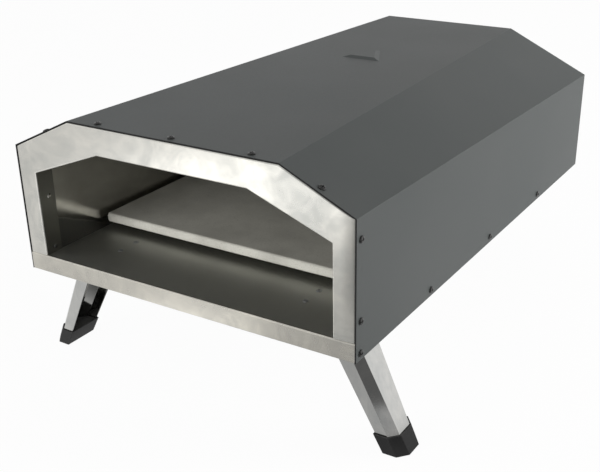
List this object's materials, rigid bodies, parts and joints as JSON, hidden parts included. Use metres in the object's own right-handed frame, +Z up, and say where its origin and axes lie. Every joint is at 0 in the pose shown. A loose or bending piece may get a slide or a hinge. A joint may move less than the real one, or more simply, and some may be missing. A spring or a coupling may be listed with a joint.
{
  "type": "wood fired pizza oven",
  "caption": "Portable double-walled steel pizza oven: folded casing on folding legs, open mouth with a baking stone, rear fire drawer under a lift-up fuel hatch.",
  "frame": {"origin": "middle of the oven's outline on the ground, under its feet", "axes": "+Z up, mouth facing -Y, +X to the right of somebody who looks into the mouth along +Y"},
  "size_m": [0.4636, 0.6492, 0.2962],
  "materials": {
    "casing_paint": "satin heat resistant paint, dark grey",
    "face_steel": "brushed stainless",
    "liner_steel": "polished stainless",
    "floor_steel": "brushed stainless",
    "cordierite": "pressed cordierite, matt",
    "ceramic_fibre": "ceramic fibre blanket",
    "foot_plastic": "black moulded",
    "grip_wood": "oiled beech",
    "grate_steel": "heat-darkened rod",
    "black_screws": "black oxide",
    "plain_steel": "zinc plated"
  },
  "bodies": {
    "casing": {"outer_shell": "casing_paint", "rear_panel": "casing_paint", "face_frame": "face_steel", "base_tray": "floor_steel", "inner_liner": "liner_steel", "insulation_blanket": "ceramic_fibre", "stone_rails": "liner_steel", "flame_baffle": "liner_steel", "drawer_guides": "liner_steel", "hatch_leaf": "plain_steel", "hatch_pin": "plain_steel", "bracket_left": "plain_steel", "bracket_right": "plain_steel", "bracket_rear": "plain_steel", "pivot_left": "plain_steel", "pivot_right": "plain_steel", "pivot_rear": "plain_steel", "top_screws": "black_screws", "shoulder_screws": "black_screws", "flank_screws": "black_screws", "skirt_screws": "black_screws", "rear_screws": "black_screws", "hinge_rivets": "plain_steel", "liner_rivets": "plain_steel", "floor_rivets": "plain_steel", "bracket_screws": "plain_steel", "bracket_nuts": "plain_steel"},
    "stone": {"baking_stone": "cordierite"},
    "drawer": {"fire_drawer": "floor_steel", "fire_grate": "grate_steel", "drawer_posts": "plain_steel", "drawer_grip": "grip_wood"},
    "shutter": {"air_shutter": "floor_steel", "shutter_knob": "black_screws"},
    "hatch": {"fuel_hatch": "casing_paint", "hatch_posts": "plain_steel", "hatch_grip": "grip_wood"},
    "left_leg": {"leg_left": "face_steel", "foot_cap_left": "foot_plastic"},
    "right_leg": {"leg_right": "face_steel", "foot_cap_right": "foot_plastic"},
    "rear_leg": {"leg_rear": "face_steel", "foot_cap_rear": "foot_plastic"}
  },
  "joints": [
    {"name": "left_leg_fold", "type": "hinge", "parent": "casing", "child": "left_leg", "pos_m": [-0.158, -0.26315, 0.1239], "axis": [0, -1, 0], "range_deg": [0, 115]},
    {"name": "right_leg_fold", "type": "hinge", "parent": "casing", "child": "right_leg", "pos_m": [0.158, -0.26315, 0.1239], "axis": [0, 1, 0], "range_deg": [0, 115]},
    {"name": "rear_leg_fold", "type": "hinge", "parent": "casing", "child": "rear_leg", "pos_m": [0, 0.25035, 0.1239], "axis": [-1, 0, 0], "range_deg": [0, 115]},
    {"name": "hatch_lift", "type": "hinge", "parent": "casing", "child": "hatch", "pos_m": [0, 0.29735, 0.261], "axis": [1, 0, 0], "range_deg": [0, 105]},
    {"name": "drawer_slide", "type": "slide", "parent": "casing", "child": "drawer", "axis": [0, 1, 0], "range_m": [0, 0.13]},
    {"name": "shutter_slide", "type": "slide", "parent": "drawer", "child": "shutter", "axis": [1, 0, 0], "range_m": [0, 0.015]},
    {"name": "stone_slide", "type": "slide", "parent": "casing", "child": "stone", "axis": [0, -1, 0], "range_m": [0, 0.43]}
  ]
}
